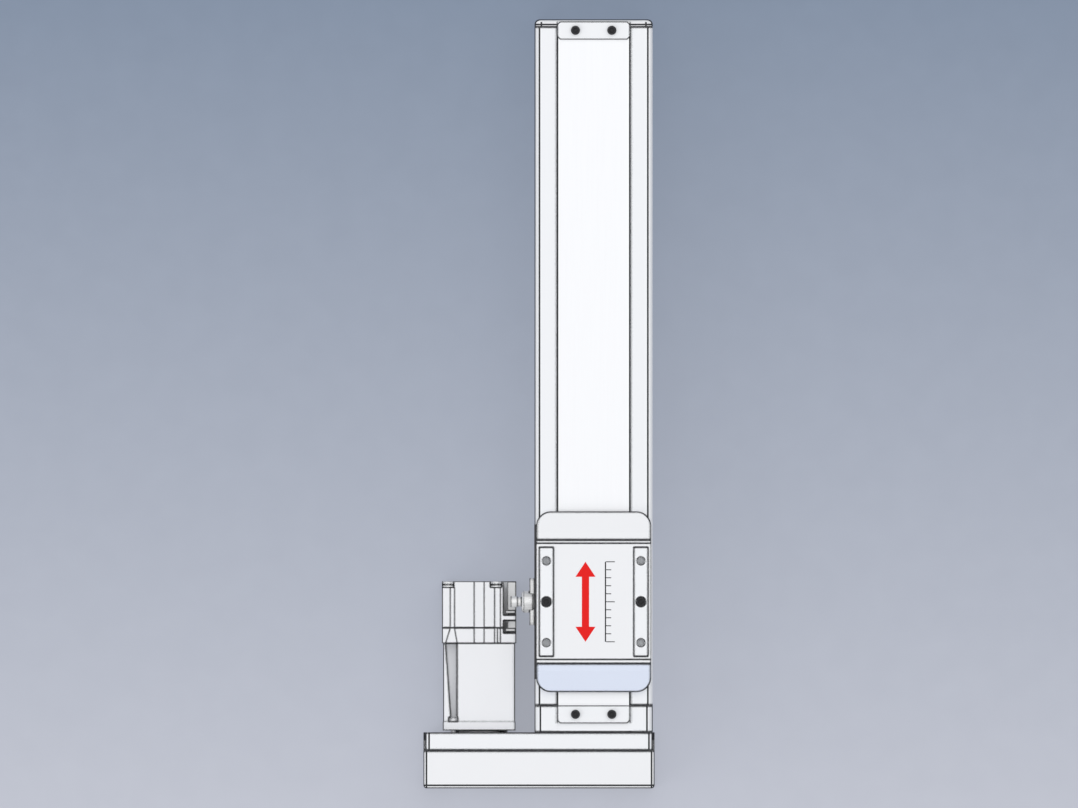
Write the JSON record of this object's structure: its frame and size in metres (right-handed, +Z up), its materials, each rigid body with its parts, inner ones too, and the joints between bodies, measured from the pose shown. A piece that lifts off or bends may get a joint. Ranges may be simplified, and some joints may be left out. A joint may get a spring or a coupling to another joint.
{
  "type": "ball screw linear axis",
  "caption": "Enclosed ball screw linear axis with a covered slider, steel cover band and a motor beside the profile, driven by a toothed belt.",
  "frame": {"origin": "middle of the profile's flat underside, halfway along the profile", "axes": "+Y along the axis, away from the belt cover; +Z up, out of the slider's load face; +X to the right, the motor lies at -X"},
  "size_m": [0.1271, 0.4229, 0.061],
  "materials": {
    "anodised": "satin clear anodised extrusion",
    "hard_steel": "ground hardened steel",
    "stainless_band": "thin brushed stainless strip",
    "magnet": "magnetic rubber strip",
    "black_screw": "black oxide steel",
    "plated_screw": "bright zinc plated steel",
    "pulley_alloy": "machined and anodised",
    "white_plastic": "fine textured moulding",
    "pale_blue_plastic": "fine textured moulding",
    "grey_plastic": "plain machined plastic",
    "black_plastic": "fine textured moulding",
    "connector_plastic": "fine textured moulding",
    "rubber": "moulded rubber",
    "motor_paint": "smooth satin paint",
    "plated_brass": "nickel plated brass"
  },
  "bodies": {
    "base": {"base_extrusion": "anodised", "rail_insert_left": "hard_steel", "rail_insert_right": "hard_steel", "side_cover_left": "anodised", "side_cover_right": "anodised", "band_magnets": "magnet", "near_end_block": "anodised", "far_support_block": "anodised", "far_end_cover": "white_plastic", "far_cover_screws": "black_screw", "clamp_plate_near": "anodised", "clamp_plate_far": "anodised", "clamp_screws": "black_screw", "cover_band": "stainless_band", "near_bearing_outer": "hard_steel", "far_bearing_outer": "hard_steel", "bumper_near": "rubber", "bumper_far": "rubber", "tie_screws": "black_screw", "adapter_plate": "anodised", "belt_cover": "white_plastic", "belt_cover_screws": "black_screw", "timing_belt": "rubber", "motor_body": "motor_paint", "motor_encoder_cover": "motor_paint", "motor_power_connector": "connector_plastic", "motor_encoder_connector": "connector_plastic", "motor_cover_screws": "plated_screw", "motor_mount_screws": "plated_screw", "air_port": "plated_brass", "port_screws": "plated_screw"},
    "screw": {"ball_screw_shaft": "hard_steel", "screw_pulley": "pulley_alloy", "screw_lock_nut": "hard_steel", "near_bearing_inner": "hard_steel", "far_bearing_inner": "hard_steel", "retaining_ring": "hard_steel"},
    "rotor": {"motor_shaft": "hard_steel", "motor_pulley": "pulley_alloy"},
    "slider": {"carriage_block": "hard_steel", "ball_return_cap_near": "white_plastic", "ball_return_cap_far": "white_plastic", "ball_nut": "hard_steel", "saddle": "anodised", "saddle_screws": "black_screw", "table_cover": "white_plastic", "pad_left": "hard_steel", "pad_right": "hard_steel", "pad_screws": "black_screw", "end_cap_near": "pale_blue_plastic", "end_cap_far": "white_plastic", "seal_plate_near": "grey_plastic", "seal_plate_far": "grey_plastic", "band_guide_near": "grey_plastic", "band_guide_far": "grey_plastic", "band_wipers": "rubber", "side_strip": "black_plastic"}
  },
  "joints": [
    {"name": "slider_travel", "type": "slide", "parent": "base", "child": "slider", "axis": [0, 1, 0], "range_m": [0, 0.25], "deforming": ["cover_band"]},
    {"name": "screw_spin", "type": "hinge", "parent": "base", "child": "screw", "pos_m": [0, 0, 0.022], "axis": [0, 1, 0], "range_deg": [-9000.5, 0.5]},
    {"name": "motor_spin", "type": "hinge", "parent": "base", "child": "rotor", "pos_m": [-0.063, 0, 0.022], "axis": [0, 1, 0], "range_deg": [-9000.5, 0.5], "deforming": ["timing_belt"]}
  ],
  "couplings": [
    {"joint": "screw_spin", "follows": "slider_travel", "rad_per_m": -628.32},
    {"joint": "motor_spin", "follows": "slider_travel", "rad_per_m": -628.32}
  ]
}
